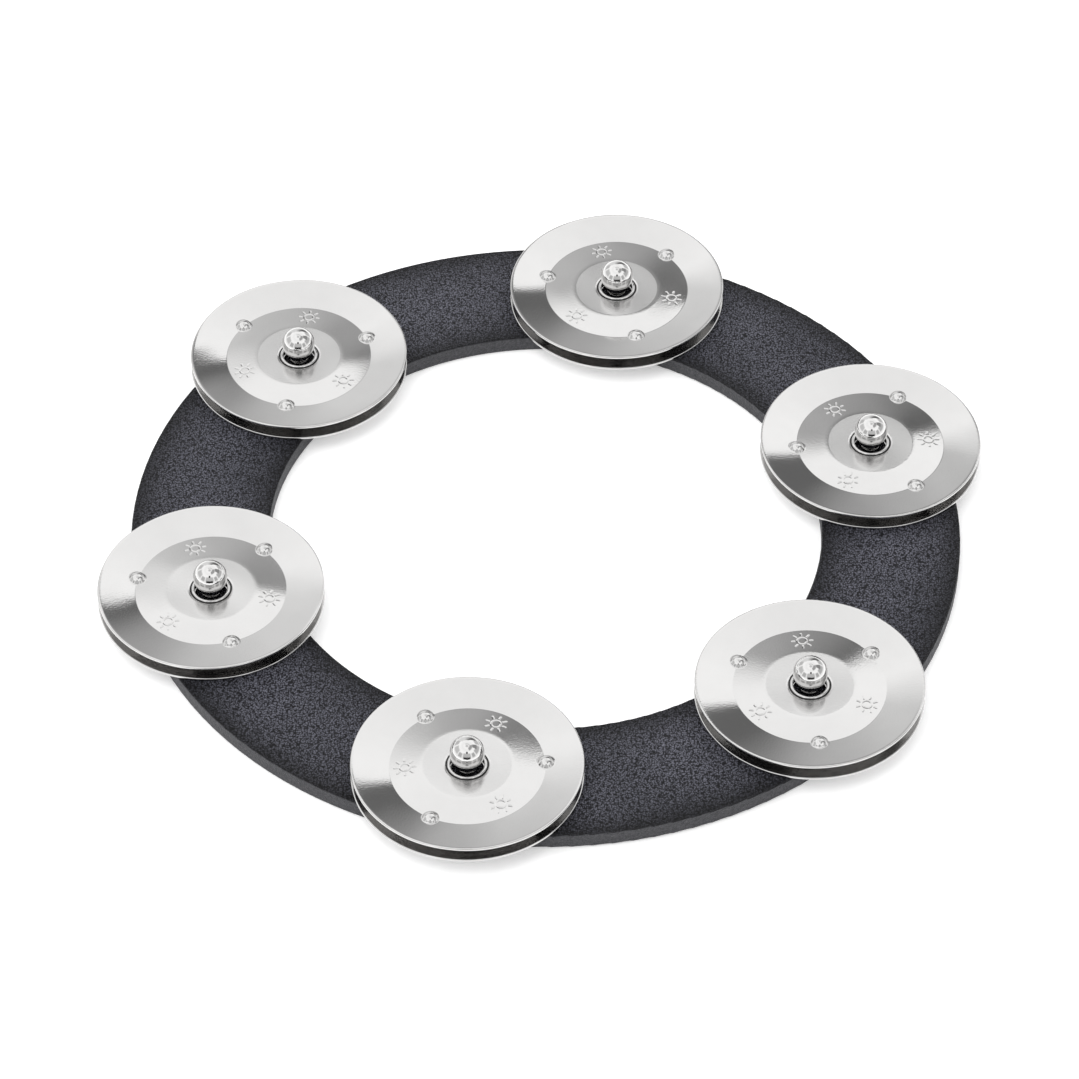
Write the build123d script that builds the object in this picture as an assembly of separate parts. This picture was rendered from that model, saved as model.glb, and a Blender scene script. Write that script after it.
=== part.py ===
from build123d import *
import os

# A jingle ring: a flat ring of soft black band that carries six stations.
# At each station two thin metal jingles, stamped alike and set back to back, hang loose on a
# ball-headed shoulder rivet, which is closed over a washer sunk in the underside of the band.
# Frame: origin at the centre of the band's underside, +Z up, millimetres.

# Driving dimensions: the band
band_outer_radius = 76.2
band_inner_radius = 50.8
band_thickness = 3.2
band_edge_round = 0.3

# Driving dimensions: the stations, which lie midway between the band's edges
station_count = 6
first_station_angle = 17.5
station_circle_radius = (band_outer_radius + band_inner_radius) / 2

# Driving dimensions: one jingle, measured on the face that looks away from its partner
jingle_radius = 20.5
sheet_thickness = 0.5
crease_radius = 13.7
crease_depth = 1.15
plateau_radius = 8.2
plateau_depth = 0.8
crease_bend_radius = 1.0
plateau_bend_radius = 4.0
rim_edge_round = 0.15
lip_circle_radius = 3.25
lip_bead_radius = 0.3
dimple_count = 3
dimple_circle_radius = 13.8
dimple_radius = 1.6

# How each loose jingle happens to be turned, in degrees from +X, one angle for each station
upper_turns = (65, 45, 22, 48, 3, 35)
lower_turns = (20, 85, 50, 5, 100, 70)

# Driving dimensions: the rivet and its washer
head_radius = 3.1
head_height_over_jingle = 2.2
shoulder_radius = 2.0
tenon_radius = 1.5
tail_radius = 2.3
tail_height = 0.45
washer_radius = 3.9
washer_thickness = 0.5
washer_recess_radius = 4.0
washer_recess_depth = 1.2

# Clearances
tenon_clearance = 0.02
band_to_jingle_gap = 0.15
pair_gap = 0.1

# Heights worked out from the above, upwards from the underside of the band
lower_jingle_height = band_thickness + band_to_jingle_gap + sheet_thickness / 2
pair_spacing = 2 * crease_depth + sheet_thickness + pair_gap
upper_jingle_height = lower_jingle_height + pair_spacing
jingle_top_height = upper_jingle_height + sheet_thickness / 2
head_height = jingle_top_height + head_height_over_jingle


def make_band():
    """The flat ring, with a rivet hole and a washer recess at each station."""
    ring = Cylinder(band_outer_radius, band_thickness, align=(Align.CENTER, Align.CENTER, Align.MIN))
    ring -= Cylinder(band_inner_radius, band_thickness, align=(Align.CENTER, Align.CENTER, Align.MIN))
    rims = ring.edges().filter_by(GeomType.CIRCLE)
    ring = fillet(rims, band_edge_round)
    hole = Cylinder(
        tenon_radius + tenon_clearance, band_thickness, align=(Align.CENTER, Align.CENTER, Align.MIN)
    )
    recess = Cylinder(
        washer_recess_radius, washer_recess_depth, align=(Align.CENTER, Align.CENTER, Align.MIN)
    )
    for place in station_places():
        ring -= place * (hole + recess)
    return ring


def station_places():
    """The frame of each station: on its rivet's axis, at the band's underside."""
    return [
        Rot(0, 0, first_station_angle + number * 360 / station_count) * Pos(station_circle_radius, 0, 0)
        for number in range(station_count)
    ]


def face_line(height):
    """One face of the stamped sheet as a section in the XZ plane.

    A dished rim falls to a crease, from which the floor climbs gently to a plateau round the hole.
    """
    corners = [
        (jingle_radius, height),
        (crease_radius, height - crease_depth),
        (plateau_radius, height - plateau_depth),
        (lip_circle_radius, height - plateau_depth),
    ]
    bends = [crease_bend_radius, plateau_bend_radius]
    return Plane.XZ * FilletPolyline(*corners, radius=bends)


def make_jingle():
    """One jingle with its outer face up and the middle of the sheet at its rim's edge at height zero."""
    top_line = face_line(sheet_thickness / 2)
    bottom_line = face_line(-sheet_thickness / 2)
    rim_end = Line(top_line @ 0, bottom_line @ 0)
    lip_end = Line(top_line @ 1, bottom_line @ 1)
    section = make_face(Curve() + [top_line, bottom_line, rim_end, lip_end])
    sheet = revolve(section, Axis.Z)
    rim_edges = sheet.edges().filter_by(GeomType.CIRCLE).group_by(SortBy.RADIUS)[-1]
    sheet = fillet(rim_edges, rim_edge_round)

    # Everything above the sheet's back face, which trims the dimples at their feet.
    ceiling = dimple_radius
    over_line = Polyline(
        bottom_line @ 0,
        Plane.XZ.from_local_coords(Vector(jingle_radius, ceiling)),
        Plane.XZ.from_local_coords(Vector(lip_circle_radius, ceiling)),
        bottom_line @ 1,
    )
    above = make_face(Curve() + [bottom_line, over_line])
    envelope = revolve(above, Axis.Z)
    dimple_centre_height = -crease_depth - sheet_thickness / 2
    for number in range(dimple_count):
        place = Rot(0, 0, number * 360 / dimple_count) * Pos(dimple_circle_radius, 0, dimple_centre_height)
        sheet += (place * Sphere(dimple_radius)) & envelope
    for number in range(dimple_count):
        place = Rot(0, 0, number * 360 / dimple_count) * Pos(dimple_circle_radius, 0, dimple_centre_height)
        sheet -= place * Sphere(dimple_radius - sheet_thickness)
    lip_height = sheet_thickness / 2 - plateau_depth
    lip = Pos(0, 0, lip_height) * Torus(lip_circle_radius, lip_bead_radius)
    return sheet + lip


def make_rivet():
    """Ball head, shoulder that stands on the band, tenon through the band, closed tail."""
    washer_face = washer_recess_depth - washer_thickness
    head = Pos(0, 0, head_height) * Sphere(head_radius)
    shoulder = Pos(0, 0, band_thickness) * Cylinder(
        shoulder_radius, head_height - band_thickness, align=(Align.CENTER, Align.CENTER, Align.MIN)
    )
    tenon = Pos(0, 0, washer_face) * Cylinder(
        tenon_radius, band_thickness - washer_face, align=(Align.CENTER, Align.CENTER, Align.MIN)
    )
    tail = Pos(0, 0, washer_face) * Cylinder(
        tail_radius, tail_height, align=(Align.CENTER, Align.CENTER, Align.MAX)
    )
    tail = fillet(tail.edges().sort_by(Axis.Z)[0], tail_height / 2)
    return head + shoulder + tenon + tail


def make_washer():
    """Flat washer between the rivet's tail and the roof of the recess."""
    bottom = washer_recess_depth - washer_thickness
    disc = Cylinder(washer_radius, washer_thickness, align=(Align.CENTER, Align.CENTER, Align.MIN))
    disc -= Cylinder(
        tenon_radius + tenon_clearance, washer_thickness, align=(Align.CENTER, Align.CENTER, Align.MIN)
    )
    return Pos(0, 0, bottom) * disc


def save(shape, node):
    """Write one node's solid under its own name."""
    export_step(shape, os.path.join("parts", node + ".step"))


os.makedirs("parts", exist_ok=True)
save(make_band(), "band")

jingle = make_jingle()
rivet = make_rivet()
washer = make_washer()
flipped_jingle = mirror(jingle, Plane.XY)
for index, place in enumerate(station_places()):
    # The turns are told from the +X axis, so the station's own angle is taken off.
    station_angle = first_station_angle + index * 360 / station_count
    upper = Pos(0, 0, upper_jingle_height) * Rot(0, 0, upper_turns[index] - station_angle) * jingle
    lower = Pos(0, 0, lower_jingle_height) * Rot(0, 0, lower_turns[index] - station_angle) * flipped_jingle
    name_end = "_" + str(index + 1)
    save(place * upper, "upper_jingle" + name_end)
    save(place * lower, "lower_jingle" + name_end)
    save(place * rivet, "rivet" + name_end)
    save(place * washer, "backing_washer" + name_end)
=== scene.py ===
"""A jingle ring laid flat: a black band with six pairs of loose nickel-plated jingles on ball-headed rivets.

Lengths in this file are millimetres, and become metres where a mesh is made.
"""
import math
import random

import bmesh
import bpy
import numpy as np
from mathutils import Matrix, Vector


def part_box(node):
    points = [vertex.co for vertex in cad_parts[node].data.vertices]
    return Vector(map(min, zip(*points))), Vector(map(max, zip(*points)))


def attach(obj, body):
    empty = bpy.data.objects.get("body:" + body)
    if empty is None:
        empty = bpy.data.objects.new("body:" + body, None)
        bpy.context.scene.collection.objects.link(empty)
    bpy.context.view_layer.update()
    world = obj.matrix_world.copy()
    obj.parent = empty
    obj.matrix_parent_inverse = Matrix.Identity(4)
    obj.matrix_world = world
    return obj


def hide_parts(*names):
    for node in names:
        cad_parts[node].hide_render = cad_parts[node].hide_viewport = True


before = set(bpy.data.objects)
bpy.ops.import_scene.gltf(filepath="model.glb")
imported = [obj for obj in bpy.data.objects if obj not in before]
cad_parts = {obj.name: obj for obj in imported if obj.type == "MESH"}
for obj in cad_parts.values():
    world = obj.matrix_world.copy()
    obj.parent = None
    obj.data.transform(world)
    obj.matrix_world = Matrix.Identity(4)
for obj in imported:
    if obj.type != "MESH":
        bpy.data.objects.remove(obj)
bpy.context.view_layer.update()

MM = 0.001
# Points of a mesh closer than this, in metres, are one point.
SAME_POINT = 1e-7
STATIONS = range(1, 7)

# How each loose jingle happens to be turned, in degrees from +X, one angle for each station
UPPER_TURNS = (65, 45, 22, 48, 3, 35)
LOWER_TURNS = (20, 85, 50, 5, 100, 70)

# The stamped sheet of a jingle, measured from its axis. A dished rim falls to a crease, from which the
# floor climbs gently to a plateau round the hole.
SHEET = 0.5
CREASE = 13.7
CREASE_DEPTH = 1.15
PLATEAU = 8.2
PLATEAU_DEPTH = 0.8
LIP_CIRCLE = 3.25
LIP_BEAD = 0.3
LIP_GROOVE = 0.28
LIP_GROOVE_DEPTH = 0.14
RIM_ROUND_ABOVE = 0.22
RIM_ROUND_BELOW = 0.15
DIMPLE_CIRCLE = 13.8
DIMPLE_RADIUS = 1.6
DIMPLE_FOOT = 0.3
DIMPLE_ANGLES = (0, 120, 240)
STAMP_CIRCLE = 10.9
STAMP_ANGLES = (60, 180, 300)
STAMP_DEPTH = 0.05
STAMP_LINE = 0.2
SUN_RING = 0.85
SUN_RAY_START = 1.25
SUN_RAY_END = 2.0
SUN_RAYS = 8

# How uneven a jingle's sheet is: the waves all over it, and the lean of its rim
WAVE_COUNT = 5
WAVE_HEIGHT = 0.012
RIM_LEAN = 0.12

# The rivet
HEAD_RADIUS = 3.1
SHOULDER_RADIUS = 2.0
TENON_RADIUS = 1.5
TAIL_RADIUS = 2.3


# ---------------------------------------------------------------- places, read from the frame

def middle(node):
    """The middle of a CAD node's box, in millimetres."""
    low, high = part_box(node)
    return (low + high) / 2 / MM


def heights(node):
    """The lowest and highest point of a CAD node, in millimetres."""
    low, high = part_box(node)
    return low.z / MM, high.z / MM


BAND_TOP = heights("band")[1]
BAND_OUTER = (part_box("band")[1].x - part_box("band")[0].x) / 2 / MM
BAND_MIDDLE = math.hypot(middle("rivet_1").x, middle("rivet_1").y)
BAND_HALF_WIDTH = BAND_OUTER - BAND_MIDDLE
JINGLE_RADIUS = (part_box("upper_jingle_1")[1].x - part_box("upper_jingle_1")[0].x) / 2 / MM


# ---------------------------------------------------------------- materials

def new_material(name):
    """An empty node material and its Principled shader."""
    material = bpy.data.materials.new(name)
    material.use_nodes = True
    shader = material.node_tree.nodes["Principled BSDF"]
    return material, shader


def add_node(tree, kind, **settings):
    """A node of that kind. Settings that name an input socket fill it, the others are attributes."""
    node = tree.nodes.new(kind)
    for key, value in settings.items():
        if key in node.inputs:
            node.inputs[key].default_value = value
        else:
            setattr(node, key, value)
    return node


def ramp_of(tree, source, stops):
    """A colour ramp over source. Stops are (position, grey) or (position, (r, g, b))."""
    node = tree.nodes.new("ShaderNodeValToRGB")
    elements = node.color_ramp.elements
    while len(elements) > 1:
        elements.remove(elements[-1])
    for index, (position, colour) in enumerate(stops):
        element = elements[0] if index == 0 else elements.new(position)
        element.position = position
        rgb = colour if isinstance(colour, tuple) else (colour, colour, colour)
        element.color = (*rgb, 1)
    tree.links.new(source, node.inputs["Fac"])
    return node.outputs["Color"]


def maths(tree, operation, *values, clamp=False):
    """A Math node over numbers and sockets, and its result."""
    node = tree.nodes.new("ShaderNodeMath")
    node.operation = operation
    node.use_clamp = clamp
    for socket, value in zip(node.inputs, values):
        if isinstance(value, (int, float)):
            socket.default_value = value
        else:
            tree.links.new(value, socket)
    return node.outputs[0]


def scale_and_add(tree, source, factor, offset):
    """source times factor plus offset."""
    return maths(tree, "ADD", maths(tree, "MULTIPLY", source, factor), offset)


def multiply_colours(tree, first, second):
    """One colour dimmed by another."""
    node = add_node(tree, "ShaderNodeMix", data_type="RGBA", blend_type="MULTIPLY")
    node.inputs["Factor"].default_value = 1.0
    tree.links.new(first, node.inputs["A"])
    tree.links.new(second, node.inputs["B"])
    return node.outputs["Result"]


def place_in_mm(tree):
    """The point's own place in the piece, in millimetres, for patterns at a real scale."""
    coords = tree.nodes.new("ShaderNodeTexCoord")
    scale = add_node(tree, "ShaderNodeVectorMath", operation="SCALE")
    scale.inputs["Scale"].default_value = 1 / MM
    tree.links.new(coords.outputs["Object"], scale.inputs[0])
    return scale.outputs[0]


def noise(tree, place, per_mm, detail=2.0, roughness=0.5):
    """Noise with that many features to the millimetre."""
    node = add_node(tree, "ShaderNodeTexNoise", Scale=per_mm, Detail=detail, Roughness=roughness)
    tree.links.new(place, node.inputs["Vector"])
    return node.outputs["Fac"]


def bump(tree, height, distance_mm, strength=1.0, under=None):
    """A Bump node over a height, laid over another bump if there is one."""
    node = add_node(tree, "ShaderNodeBump", Strength=strength, Distance=distance_mm * MM)
    tree.links.new(height, node.inputs["Height"])
    if under is not None:
        tree.links.new(under, node.inputs["Normal"])
    return node.outputs["Normal"]


def plated_metal(name, colour, roughness):
    """Polished metal of that colour and roughness, with some haze, a fine grain and a few scuffs."""
    material, shader = new_material(name)
    tree = material.node_tree
    place = place_in_mm(tree)
    shader.inputs["Metallic"].default_value = 1.0
    tint = ramp_of(tree, noise(tree, place, 0.35, 3.0), [
        (0.3, tuple(c * 0.98 for c in colour)),
        (0.7, colour),
    ])
    tree.links.new(tint, shader.inputs["Base Color"])
    haze = noise(tree, place, 0.8, 4.0, 0.6)
    scuffs = noise(tree, place, 5.0, 2.0)
    spread = maths(tree, "ADD", maths(tree, "MULTIPLY", haze, 0.04), maths(tree, "MULTIPLY", scuffs, 0.02))
    tree.links.new(maths(tree, "ADD", spread, roughness - 0.03), shader.inputs["Roughness"])
    tree.links.new(bump(tree, noise(tree, place, 3.0, 2.0, 0.6), 0.005), shader.inputs["Normal"])
    return material


def band_leather():
    """Charcoal grained leather. Its cut edges have no grain skin, so they show plain fibres."""
    material, shader = new_material("band_leather")
    tree = material.node_tree
    place = place_in_mm(tree)
    warp_noise = add_node(tree, "ShaderNodeTexNoise", Scale=1.2, Detail=2.0)
    tree.links.new(place, warp_noise.inputs["Vector"])
    warp = add_node(tree, "ShaderNodeVectorMath", operation="ADD")
    tree.links.new(place, warp.inputs[0])
    tree.links.new(warp_noise.outputs["Color"], warp.inputs[1])
    pebbles = add_node(tree, "ShaderNodeTexVoronoi", Scale=2.5, Randomness=0.65, feature="F1")
    tree.links.new(warp.outputs[0], pebbles.inputs["Vector"])
    creases = noise(tree, place, 4.0, 2.0, 0.6)
    crown = scale_and_add(tree, pebbles.outputs["Distance"], -1.2, 0.9)
    grain = maths(tree, "ADD", crown, maths(tree, "MULTIPLY", creases, 0.25))

    geometry = tree.nodes.new("ShaderNodeNewGeometry")
    parts = tree.nodes.new("ShaderNodeSeparateXYZ")
    tree.links.new(geometry.outputs["True Normal"], parts.inputs[0])
    upright = maths(tree, "ABSOLUTE", parts.outputs["Z"])
    skin = ramp_of(tree, upright, [(0.25, 0.0), (0.8, 1.0)])

    # The grain's own tone, with painted shade in the creases, near black, and a painted bluish sheen on the
    # pebble crowns.
    face = ramp_of(tree, grain, [(0.3, (0.006, 0.006, 0.008)), (0.9, (0.160, 0.161, 0.195))])
    cloud = ramp_of(tree, noise(tree, place, 0.05, 3.0), [
        (0.3, (0.75, 0.76, 0.78)),
        (0.7, (1.15, 1.15, 1.17)),
    ])
    # Painted shade: the grain is darkened towards both cut edges of the band, darkest at the edges.
    across = tree.nodes.new("ShaderNodeSeparateXYZ")
    tree.links.new(place, across.inputs[0])
    squares = [maths(tree, "POWER", across.outputs[axis], 2.0) for axis in ("X", "Y")]
    radius = maths(tree, "SQRT", maths(tree, "ADD", *squares))
    off_middle = maths(tree, "ABSOLUTE", maths(tree, "SUBTRACT", radius, BAND_MIDDLE))
    painted_edge_shade = ramp_of(tree, maths(tree, "DIVIDE", off_middle, BAND_HALF_WIDTH), [
        (0.2, 1.0), (0.65, 0.75), (1.0, 0.15),
    ])
    faces = multiply_colours(tree, multiply_colours(tree, face, cloud), painted_edge_shade)
    fibres = ramp_of(tree, noise(tree, place, 2.2, 4.0, 0.7), [
        (0.3, (0.030, 0.030, 0.034)),
        (0.7, (0.085, 0.085, 0.092)),
    ])
    colour = add_node(tree, "ShaderNodeMix", data_type="RGBA")
    tree.links.new(skin, colour.inputs["Factor"])
    tree.links.new(fibres, colour.inputs["A"])
    tree.links.new(faces, colour.inputs["B"])
    tree.links.new(colour.outputs["Result"], shader.inputs["Base Color"])

    rough = ramp_of(tree, grain, [(0.2, 0.6), (0.9, 0.42)])
    tree.links.new(rough, shader.inputs["Roughness"])
    shader.inputs["Specular IOR Level"].default_value = 0.25
    grain_bump = bump(tree, grain, 0.14, 1.0)
    tree.links.new(bump(tree, noise(tree, place, 0.12, 2.0), 0.25, 0.6, grain_bump), shader.inputs["Normal"])
    return material


def dress(piece, *materials):
    """Gives a piece its materials in place of what it has."""
    piece.data.materials.clear()
    for material in materials:
        piece.data.materials.append(material)
    return piece


# ---------------------------------------------------------------- mesh helpers

def revolve(name, section, angles, closed, place, shape=None, turn=0.0, flipped=False):
    """A piece turned from a section of (radius, height) points about Z, at the angles given in radians.

    A closed section makes a ring. An open one starts and ends on the axis. shape may lift the points,
    which are then flipped over, turned by so many degrees and carried to their place.
    """
    radii = np.array([point[0] for point in section])
    levels = np.array([point[1] for point in section])
    x = np.outer(radii, np.cos(angles))
    y = np.outer(radii, np.sin(angles))
    z = np.outer(levels, np.ones(len(angles)))
    if shape is not None:
        z = shape(x, y, z)
    if flipped:
        y, z = -y, -z
    cosine, sine = math.cos(math.radians(turn)), math.sin(math.radians(turn))
    x, y = x * cosine - y * sine, x * sine + y * cosine
    points = np.stack([x, y, z], axis=-1).reshape(-1, 3) + np.array(place)

    rows, columns = len(section), len(angles)
    row, column = np.meshgrid(np.arange(rows if closed else rows - 1), np.arange(columns), indexing="ij")
    here, there = row * columns, (row + 1) % rows * columns
    after = (column + 1) % columns
    faces = np.stack([here + column, here + after, there + after, there + column], axis=-1).reshape(-1, 4)
    mesh = bpy.data.meshes.new(name)
    mesh.from_pydata((points * MM).tolist(), [], faces.tolist())
    mesh.update()
    piece = bpy.data.objects.new(name, mesh)
    bpy.context.collection.objects.link(piece)
    for polygon in mesh.polygons:
        polygon.use_smooth = True
    return piece


def arc(centre, radius, start, end, count):
    """Points on an arc in a section, with angles in degrees from the radial direction."""
    turns = np.radians(np.linspace(start, end, count))
    return [(centre[0] + radius * math.cos(t), centre[1] + radius * math.sin(t)) for t in turns]


def even_angles(count):
    """Equal steps of a full turn, in radians."""
    return np.arange(count) * 2 * math.pi / count


def close_poles(piece):
    """Merges the points that an open section puts on the axis, and drops the empty faces."""
    work = bmesh.new()
    work.from_mesh(piece.data)
    bmesh.ops.remove_doubles(work, verts=work.verts, dist=SAME_POINT)
    work.to_mesh(piece.data)
    work.free()
    return piece


# ---------------------------------------------------------------- jingles

def smooth_step(values, start, end):
    """0 before start, 1 after end, and a smooth rise between them."""
    t = np.clip((values - start) / (end - start), 0, 1)
    return t * t * (3 - 2 * t)


def smooth_max(a, b, blend):
    """The larger of two heights, with their crossing rounded off."""
    near = np.maximum(blend - np.abs(a - b), 0) / blend
    return np.maximum(a, b) + near * near * blend / 4


def sheet_line():
    """Radii, and the height of the sheet's middle at each, measured from the rim's edge."""
    step = 0.01
    r = np.arange(0, JINGLE_RADIUS + step, step)
    rim_slope = CREASE_DEPTH / (JINGLE_RADIUS - CREASE)
    floor_slope = (PLATEAU_DEPTH - CREASE_DEPTH) / (CREASE - PLATEAU)
    slope = floor_slope * smooth_step(r, PLATEAU - 0.6, PLATEAU + 0.6)
    slope += (rim_slope - floor_slope) * smooth_step(r, CREASE - 0.12, CREASE + 0.12)
    z = np.cumsum(slope) * step
    return r, z - z[-1]


SHEET_RADII, SHEET_HEIGHTS = sheet_line()


def sheet_height(r):
    """The height of the sheet's middle at a radius."""
    return np.interp(r, SHEET_RADII, SHEET_HEIGHTS)


def face_radii(fine):
    """Radii at which a face has points, from rim to lip, closest where dimples and stamps are."""
    scale = 1.0 if fine else 2.2
    spans = [
        (JINGLE_RADIUS - 0.2, 15.8, 0.45),
        (15.8, CREASE + 0.2, 0.1),
        (CREASE + 0.2, CREASE - 0.2, 0.04),
        (CREASE - 0.2, 8.6, 0.1),
        (8.6, LIP_CIRCLE + 0.75, 0.2),
    ]
    radii = []
    for outer, inner, step in spans:
        count = max(2, int(round((outer - inner) / (step * scale))))
        radii.extend(np.linspace(outer, inner, count, endpoint=False))
    return radii


def face_angles(fine):
    """Directions in which a face has points, closer together across each dimple and stamp."""
    close = []
    for centre in DIMPLE_ANGLES:
        close.extend(centre + np.arange(-8.4, 8.5, 0.4 if fine else 0.7))
    if fine:
        for centre in STAMP_ANGLES:
            close.extend(centre + np.arange(-12.5, 12.6, 0.5))
    apart = [
        angle for angle in np.arange(0, 360, 1.25 if fine else 2.0)
        if min(abs((angle - other + 180) % 360 - 180) for other in close) > 0.55
    ]
    return np.radians(np.array(sorted({round(angle % 360, 3) for angle in apart + close})))


def jingle_section(fine):
    """The closed section of the sheet with a mark for each point.

    The mark is 1 on the outer face, 2 in the groove round the lip, -1 on the back face and 0 on an edge.
    """
    half = SHEET / 2
    rim = sheet_height(JINGLE_RADIUS - 0.2)
    points = [(r, sheet_height(r) + half, 1) for r in face_radii(fine)]
    foot = sheet_height(LIP_CIRCLE + 0.7) + half
    bead_centre = (LIP_CIRCLE, foot)
    # A narrow groove, painted dark as shade, parts the rolled lip from the plateau.
    lip_edge = LIP_CIRCLE + LIP_BEAD
    points.append((lip_edge + LIP_GROOVE, foot, 2))
    points.append((lip_edge + LIP_GROOVE - 0.07, foot - LIP_GROOVE_DEPTH, 2))
    points.append((lip_edge + 0.02, foot - LIP_GROOVE_DEPTH, 2))
    points += [(r, z, 0) for r, z in arc(bead_centre, LIP_BEAD, 0, 180, 16 if fine else 8)]
    points.append((LIP_CIRCLE - LIP_BEAD, foot - 0.25, 0))
    points += [(r, z, 0) for r, z in arc((LIP_CIRCLE - LIP_BEAD + 0.2, foot - 0.3), 0.2, 180, 270, 5)]
    back = sorted(face_radii(False))
    points += [(r, sheet_height(r) - half, -1) for r in back if r > LIP_CIRCLE + 0.1]
    edge_bottom = (JINGLE_RADIUS - RIM_ROUND_BELOW, rim - half + RIM_ROUND_BELOW)
    points += [(r, z, 0) for r, z in arc(edge_bottom, RIM_ROUND_BELOW, -90, 0, 4)]
    edge_top = (JINGLE_RADIUS - RIM_ROUND_ABOVE, rim + half - RIM_ROUND_ABOVE)
    points += [(r, z, 0) for r, z in arc(edge_top, RIM_ROUND_ABOVE, 0, 80, 6)]
    return points


def stamp(x, y):
    """How deep the small generic sunburst stamps are cut at each point: 1 in a line, 0 outside."""
    depth = np.zeros_like(x)
    for angle in STAMP_ANGLES:
        turn = math.radians(angle)
        along = x * math.cos(turn) + y * math.sin(turn) - STAMP_CIRCLE
        across = y * math.cos(turn) - x * math.sin(turn)
        distance = np.hypot(along, across)
        direction = np.arctan2(across, along)
        ring = np.abs(distance - SUN_RING)
        ray_step = 2 * math.pi / SUN_RAYS
        spoke = np.abs((direction / ray_step + 0.5) % 1 - 0.5) * distance * ray_step
        ray = np.where((distance > SUN_RAY_START) & (distance < SUN_RAY_END), spoke, np.inf)
        line = np.minimum(ring, ray)
        depth = np.maximum(depth, 1 - smooth_step(line, STAMP_LINE * 0.25, STAMP_LINE * 0.75))
    return depth


def jingle_shape(marks, seed):
    """The function that lifts a turned sheet into a stamped one: dimples, stamps, a slight waviness."""
    chance = random.Random(seed)
    lean_way = chance.uniform(0, 2 * math.pi)
    lean_x, lean_y = RIM_LEAN * math.cos(lean_way), RIM_LEAN * math.sin(lean_way)
    waves = []
    for _ in range(WAVE_COUNT):
        direction = chance.uniform(0, math.pi)
        length = chance.uniform(9, 22)
        pull = 2 * math.pi / length
        phase = chance.uniform(0, 6.28)
        waves.append((pull * math.cos(direction), pull * math.sin(direction), phase))
    marks = np.array(marks)[:, None]

    def lift(x, y, z):
        centre_height = -CREASE_DEPTH - SHEET / 2
        raised = z.copy()
        for angle in DIMPLE_ANGLES:
            turn = math.radians(angle)
            gap = np.hypot(x - DIMPLE_CIRCLE * math.cos(turn), y - DIMPLE_CIRCLE * math.sin(turn))
            for mark, radius in ((1, DIMPLE_RADIUS), (-1, DIMPLE_RADIUS - SHEET)):
                ball = centre_height + np.sqrt(np.maximum(radius**2 - gap**2, 0))
                ball -= 2 * np.maximum(gap - radius, 0)
                bumped = smooth_max(raised, ball, DIMPLE_FOOT)
                raised = np.where((marks == mark) & (gap < radius * 1.8), bumped, raised)
        raised -= np.where(marks == 1, STAMP_DEPTH * stamp(x, y), 0)
        for pull_x, pull_y, phase in waves:
            raised += WAVE_HEIGHT * np.sin(pull_x * x + pull_y * y + phase)
        beyond_crease = np.maximum(1 - CREASE / np.maximum(np.hypot(x, y), CREASE), 0)
        return raised + (x * lean_x + y * lean_y) / (JINGLE_RADIUS - CREASE) * beyond_crease

    return lift


def make_jingle(node, turn, flipped, materials, seed):
    """One stamped jingle in the place of its CAD node.

    Its materials are for the bright outer face, the satin plateau, the unpolished back face and the
    groove round the lip, which is painted dark as shade.
    """
    section = jingle_section(fine=not flipped)
    marks = [mark for _, _, mark in section]
    low, high = heights(node)
    place = middle(node)
    # The rim's edge is what stands out furthest on the outer face.
    rim_height = low + SHEET / 2 if flipped else high - SHEET / 2
    piece = revolve(node + "_plate", [p[:2] for p in section], face_angles(not flipped), True,
                    (place.x, place.y, rim_height), jingle_shape(marks, seed), turn, flipped)
    dress(piece, *materials)
    # Which of the four materials each row of faces has.
    regions = []
    for radius, _, mark in section:
        on_plateau = mark == 1 and radius < PLATEAU - 0.3
        regions.append({-1: 2, 2: 3}.get(mark, int(on_plateau)))
    columns = len(piece.data.polygons) // len(section)
    piece.data.polygons.foreach_set("material_index", np.repeat(regions, columns))
    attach(piece, node)
    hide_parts(node)
    return piece


# ---------------------------------------------------------------- rivets and washers

def make_rivet(number, material):
    """A ball-headed shoulder rivet, closed over its washer by a rolled tail."""
    node = f"rivet_{number}"
    low, high = heights(node)
    centre = high - HEAD_RADIUS
    washer_bottom = heights(f"backing_washer_{number}")[0]
    neck = -math.degrees(math.acos(SHOULDER_RADIUS / HEAD_RADIUS))
    section = arc((0, centre), HEAD_RADIUS, 90, neck, 48)
    section += [
        (SHOULDER_RADIUS, centre - 3.0),
        (SHOULDER_RADIUS, BAND_TOP + 0.15),
        (SHOULDER_RADIUS - 0.15, BAND_TOP),
        (TENON_RADIUS, BAND_TOP),
        (TENON_RADIUS, washer_bottom),
    ]
    bulge = (washer_bottom - low) / 2
    section += [(TAIL_RADIUS - bulge, washer_bottom)]
    section += arc((TAIL_RADIUS - bulge, washer_bottom - bulge), bulge, 70, -90, 10)
    section += [(1.1, low), (0.8, low + 0.12), (0.4, low + 0.2), (0, low + 0.22)]
    place = middle(node)
    piece = close_poles(revolve(f"{node}_turned", section, even_angles(96), False, (place.x, place.y, 0)))
    dress(piece, material)
    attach(piece, "band")
    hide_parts(node)
    return piece


def make_washer(number, material):
    """A blanked washer with its edges rolled on one side."""
    node = f"backing_washer_{number}"
    low, high = heights(node)
    low_box, high_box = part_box(node)
    outer = (high_box.x - low_box.x) / 2 / MM
    inner = TENON_RADIUS + 0.02
    edge = 0.12
    section = arc((outer - edge, high - edge), edge, 90, 0, 5)
    section += arc((outer - 2 * edge, low + 2 * edge), 2 * edge, 0, -90, 7)
    section += arc((inner + edge, low + edge), edge, 270, 180, 5)
    section += arc((inner + edge, high - edge), edge, 180, 90, 5)
    place = middle(node)
    piece = revolve(f"{node}_blanked", section, even_angles(72), True, (place.x, place.y, 0))
    dress(piece, material)
    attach(piece, "band")
    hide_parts(node)
    return piece


# ---------------------------------------------------------------- stage, light and camera

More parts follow.
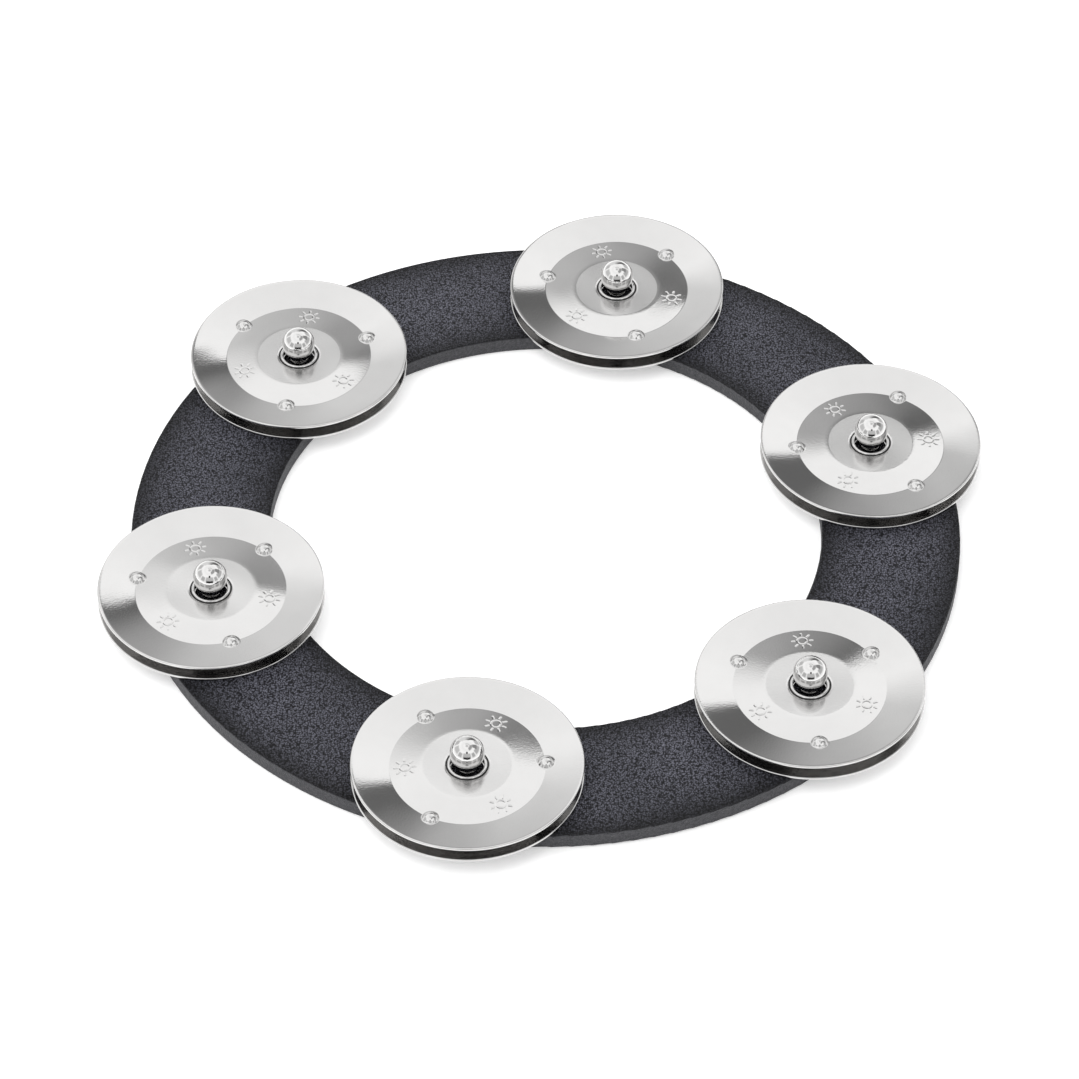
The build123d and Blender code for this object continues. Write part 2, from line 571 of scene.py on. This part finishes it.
def make_floor():
    """A plain white table under the ring, lit a little from below, which softens the shadows."""
    size = 6.0
    mesh = bpy.data.meshes.new("floor")
    corners = [(-size, -size, 0), (size, -size, 0), (size, size, 0), (-size, size, 0)]
    mesh.from_pydata(corners, [], [(0, 1, 2, 3)])
    floor = bpy.data.objects.new("floor", mesh)
    bpy.context.collection.objects.link(floor)
    floor.location.z = -0.00005
    material, shader = new_material("lit_table")
    shader.inputs["Base Color"].default_value = (0.92, 0.92, 0.92, 1)
    shader.inputs["Roughness"].default_value = 0.9
    shader.inputs["Specular IOR Level"].default_value = 0.0
    shader.inputs["Emission Color"].default_value = (1, 1, 1, 1)
    shader.inputs["Emission Strength"].default_value = 0.3
    dress(floor, material)


def cover(tree, level, colour, mask):
    """Lays a grey, a number or a socket, over a light level where the mask is 1."""
    layer = add_node(tree, "ShaderNodeMix", data_type="FLOAT")
    tree.links.new(mask, layer.inputs["Factor"])
    tree.links.new(level, layer.inputs["A"])
    if isinstance(colour, float):
        layer.inputs["B"].default_value = colour
    else:
        tree.links.new(colour, layer.inputs["B"])
    return layer.outputs["Result"]


def panel_mask(tree, azimuth, elevation, panel, edge):
    """1 inside a panel of (azimuth, half width, lowest, highest) in degrees, with soft edges."""
    centre, half_width, low, high = panel
    aside = maths(tree, "WRAP", maths(tree, "SUBTRACT", azimuth, centre), 180.0, -180.0)
    off = maths(tree, "ABSOLUTE", aside)
    beside = maths(tree, "DIVIDE", maths(tree, "SUBTRACT", half_width, off), edge, clamp=True)
    above = maths(tree, "DIVIDE", maths(tree, "SUBTRACT", elevation, low), edge, clamp=True)
    below = maths(tree, "DIVIDE", maths(tree, "SUBTRACT", high, elevation), edge, clamp=True)
    return maths(tree, "MULTIPLY", beside, maths(tree, "MULTIPLY", above, below))


def make_tent():
    """The light tent that the plating mirrors: white all round, a grey backdrop behind, and grey panels."""
    world = bpy.data.worlds.new("tent")
    world.use_nodes = True
    bpy.context.scene.world = world
    tree = world.node_tree
    background = tree.nodes["Background"]
    coords = tree.nodes.new("ShaderNodeTexCoord")
    parts = tree.nodes.new("ShaderNodeSeparateXYZ")
    tree.links.new(coords.outputs["Generated"], parts.inputs[0])
    azimuth = maths(tree, "DEGREES", maths(tree, "ARCTAN2", parts.outputs["X"], parts.outputs["Y"]))
    elevation = maths(tree, "DEGREES", maths(tree, "ARCSINE", parts.outputs["Z"]))

    tent = ramp_of(tree, maths(tree, "DIVIDE", maths(tree, "ADD", elevation, 90.0), 180.0), [
        (0.0, 0.85), (0.5, 0.9), (0.6, 0.97), (0.75, 0.98), (0.85, 0.88), (0.9, 0.96), (1.0, 0.9),
    ])

    # The backdrop's upper edge is highest a little to the right, and sharper and darker there than at left.
    rightwards = maths(tree, "SUBTRACT", azimuth, 6.0)
    falls = [maths(tree, "MULTIPLY", rightwards, steepness) for steepness in (0.7, -0.1)]
    fall = maths(tree, "MAXIMUM", *falls)
    under = maths(tree, "SUBTRACT", maths(tree, "SUBTRACT", 45.5, fall), elevation)
    blur = maths(tree, "MAXIMUM", scale_and_add(tree, azimuth, -0.35, 4.0), 1.2)
    upper_edge = maths(tree, "ADD", maths(tree, "DIVIDE", under, blur), 0.5, clamp=True)
    body = panel_mask(tree, azimuth, elevation, (2.0, 40.0, 4.0, 90.0), 8.0)
    by_depth = scale_and_add(tree, under, 0.009, 0.33)
    grey = maths(tree, "ADD", by_depth, maths(tree, "MULTIPLY", azimuth, -0.022))
    grey = maths(tree, "MINIMUM", maths(tree, "MAXIMUM", grey, 0.13), 0.7)
    level = cover(tree, tent, grey, maths(tree, "MULTIPLY", body, upper_edge))

    # Pale flags on the other three sides and at the corners, three high up, a grey panel at the right,
    # the dark room in front of the table, and the lens above it.
    for panel, dark, edge in (
        ((46.0, 15.0, 3.0, 38.0), 0.50, 7.0),
        ((134.0, 15.0, 3.0, 38.0), 0.42, 7.0),
        ((-132.0, 17.0, 3.0, 38.0), 0.45, 7.0),
        ((-47.0, 16.0, 3.0, 38.0), 0.50, 7.0),
        ((90.0, 30.0, 6.0, 44.0), 0.45, 8.0),
        ((180.0, 32.0, 6.0, 44.0), 0.50, 8.0),
        ((-90.0, 26.0, 6.0, 44.0), 0.55, 8.0),
        ((110.0, 48.0, 55.0, 79.0), 0.35, 6.0),
        ((0.0, 200.0, 80.0, 100.0), 0.55, 4.0),
        ((10.0, 50.0, 68.0, 79.0), 0.60, 4.0),
        ((78.0, 17.0, 28.0, 58.0), 0.25, 2.0),
        ((180.0, 26.0, -12.0, 18.0), 0.03, 7.0),
        ((180.0, 9.0, 37.0, 53.0), 0.02, 3.0),
    ):
        level = cover(tree, level, dark, panel_mask(tree, azimuth, elevation, panel, edge))
    tree.links.new(level, background.inputs["Color"])
    background.inputs["Strength"].default_value = 1.34


def make_lamp(name, place, size, power):
    """A soft square lamp aimed at the ring, which the plating doesn't mirror."""
    light = bpy.data.lights.new(name, "AREA")
    light.shape = "SQUARE"
    light.size = size
    light.energy = power
    lamp = bpy.data.objects.new(name, light)
    bpy.context.collection.objects.link(lamp)
    lamp.location = place
    lamp.rotation_mode = "QUATERNION"
    lamp.rotation_quaternion = (-Vector(place)).to_track_quat("-Z", "Y")
    lamp.visible_camera = False
    lamp.visible_glossy = False


def make_camera():
    """A long lens looking down at 45 degrees from the front."""
    camera_data = bpy.data.cameras.new("camera")
    camera_data.lens = 161.0
    camera_data.sensor_width = 36.0
    camera_data.clip_start = 0.01
    camera_data.clip_end = 50.0
    camera = bpy.data.objects.new("camera", camera_data)
    bpy.context.collection.objects.link(camera)
    elevation = math.radians(45.07)
    distance = 0.89
    target = Vector((-1.13, -0.66, 0)) * MM
    back = Vector((0, -math.cos(elevation), math.sin(elevation)))
    camera.location = target + back * distance
    camera.rotation_mode = "QUATERNION"
    camera.rotation_quaternion = (-back).to_track_quat("-Z", "Y")
    bpy.context.scene.camera = camera


# ---------------------------------------------------------------- the scene

make_camera()
make_floor()
make_tent()
make_lamp("key", (-0.7, -0.3, 1.4), 1.4, 8.0)
make_lamp("fill", (0.9, 0.8, 1.2), 1.4, 5.0)
scene = bpy.context.scene
scene.view_settings.view_transform = "Standard"
# Light is reflected many times between the two jingles of a pair.
scene.cycles.max_bounces = 24
scene.cycles.glossy_bounces = 24

jingle_metals = (
    plated_metal("jingle_nickel", (0.665, 0.66, 0.655), 0.07),
    plated_metal("jingle_satin", (0.70, 0.695, 0.69), 0.2),
    plated_metal("jingle_back", (0.48, 0.475, 0.47), 0.12),
    # The groove's near-black metal is painted shade round the lip.
    plated_metal("jingle_groove_painted_shade", (0.06, 0.06, 0.06), 0.4),
)
bright_nickel = plated_metal("rivet_nickel", (0.70, 0.695, 0.69), 0.05)
dull_steel = plated_metal("washer_steel", (0.5, 0.5, 0.49), 0.28)

dress(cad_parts["band"], band_leather())
for number in STATIONS:
    make_jingle(f"upper_jingle_{number}", UPPER_TURNS[number - 1], False, jingle_metals, number)
    make_jingle(f"lower_jingle_{number}", LOWER_TURNS[number - 1], True, jingle_metals, 10 + number)
    make_rivet(number, bright_nickel)
    make_washer(number, dull_steel)
